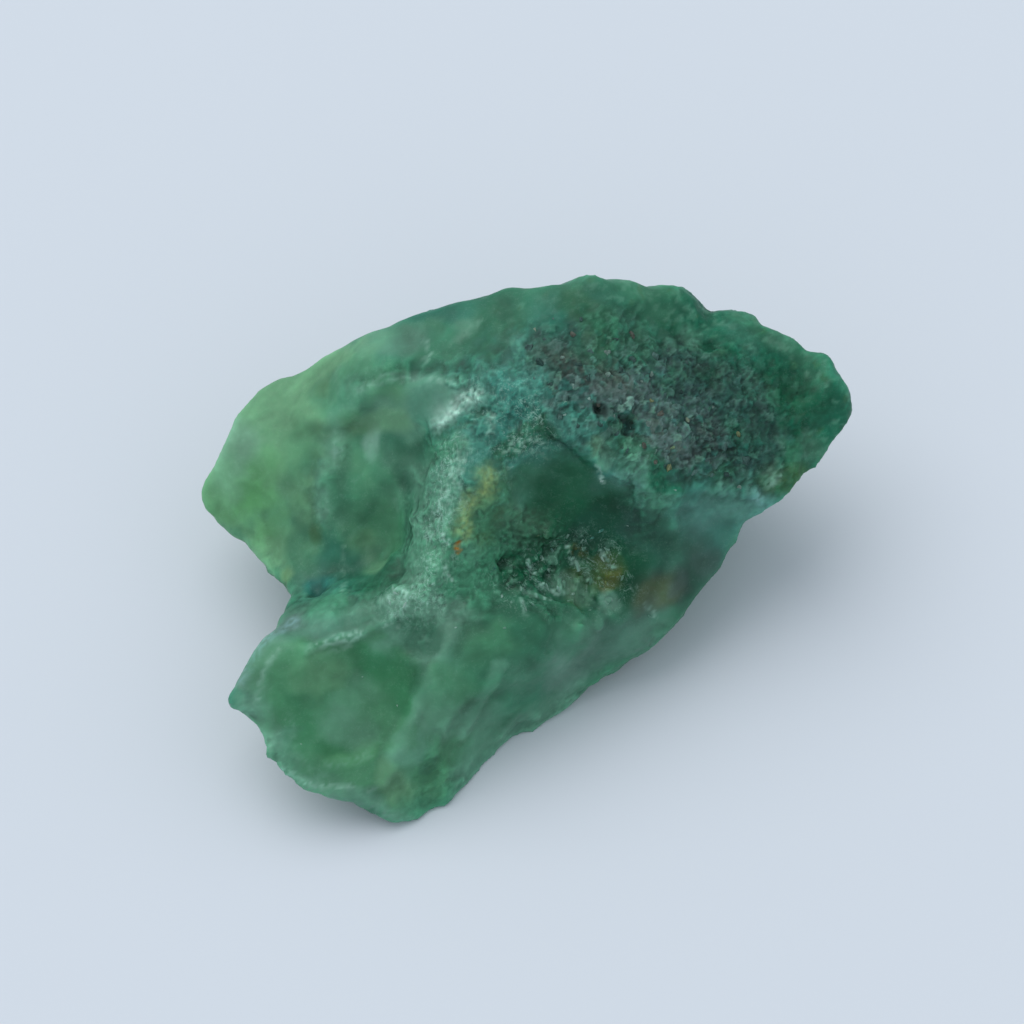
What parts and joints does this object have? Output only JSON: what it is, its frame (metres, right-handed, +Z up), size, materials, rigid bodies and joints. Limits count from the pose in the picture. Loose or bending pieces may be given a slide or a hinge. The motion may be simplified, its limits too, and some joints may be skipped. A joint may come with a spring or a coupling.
{
  "type": "raw emerald crystal",
  "caption": "Broken lump of cloudy green beryl with a thin lobe, a dished lobe, a rough granular slab and a pit of small crystals.",
  "frame": {"origin": "under the middle of the stone, on the surface it rests on", "axes": "+X along the stone's length towards the rough slab, -Y towards the dished front lobe, +Z up from the resting face"},
  "size_m": [0.024, 0.0182, 0.0115],
  "materials": {
    "beryl": "cloudy, translucent green beryl with a waxy shine, with a dull granular crust on the slab"
  },
  "bodies": {
    "root": {"emerald_crystal": "beryl"}
  },
  "joints": []
}
